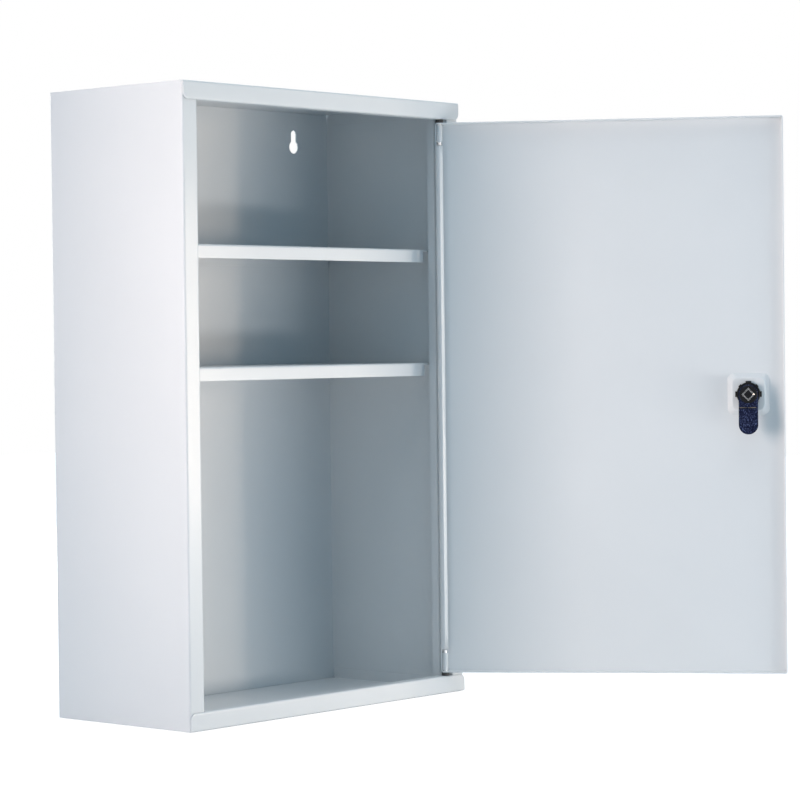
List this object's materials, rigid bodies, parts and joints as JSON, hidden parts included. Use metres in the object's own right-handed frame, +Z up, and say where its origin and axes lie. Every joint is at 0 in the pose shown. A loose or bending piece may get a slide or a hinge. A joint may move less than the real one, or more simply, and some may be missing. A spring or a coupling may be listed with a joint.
{
  "type": "medicine cabinet",
  "caption": "Wall-hung folded-steel medicine cabinet with fixed shelves and a side-hinged door that locks with a turning cam",
  "frame": {"origin": "middle of the base, on the underside of the bottom panel", "axes": "+Z up, +Y from the front to the wall, +X to the hinge side; the door stands open as pictured"},
  "size_m": [0.4282, 0.3605, 0.46],
  "materials": {
    "painted_steel": "pale grey-white satin powder coat",
    "zinc_steel": "zinc-plated steel",
    "nylon": "plain black nylon",
    "black_diecast": "black coated die casting",
    "bright_steel": "turned steel",
    "brass": "stamped brass",
    "blued_steel": "dark blue-black coated steel with a fine sparkle"
  },
  "bodies": {
    "cabinet": {"body_wrap": "painted_steel", "top_tray": "painted_steel", "bottom_tray": "painted_steel", "shelf_upper": "painted_steel", "shelf_lower": "painted_steel", "hinge_washer_upper": "nylon", "hinge_washer_lower": "nylon"},
    "door": {"door_panel": "painted_steel", "hinge_barrel_upper": "painted_steel", "hinge_barrel_lower": "painted_steel", "hinge_pin_upper": "zinc_steel", "hinge_pin_lower": "zinc_steel", "lock_housing": "black_diecast", "lock_nut": "black_diecast"},
    "lock": {"lock_plug": "bright_steel", "lock_wafers": "brass", "lock_stop_washer": "zinc_steel", "lock_cam": "blued_steel", "cam_retainer": "black_diecast"}
  },
  "joints": [
    {"name": "door_swing", "type": "hinge", "parent": "cabinet", "child": "door", "pos_m": [0.1307, -0.0667, 0.23], "axis": [0, 0, 1], "range_deg": [-123.3, 5]},
    {"name": "lock_turn", "type": "hinge", "parent": "door", "child": "lock", "pos_m": [0.26341, -0.26272, 0.231], "axis": [-0.8358, -0.549, 0], "range_deg": [0, 90]}
  ]
}
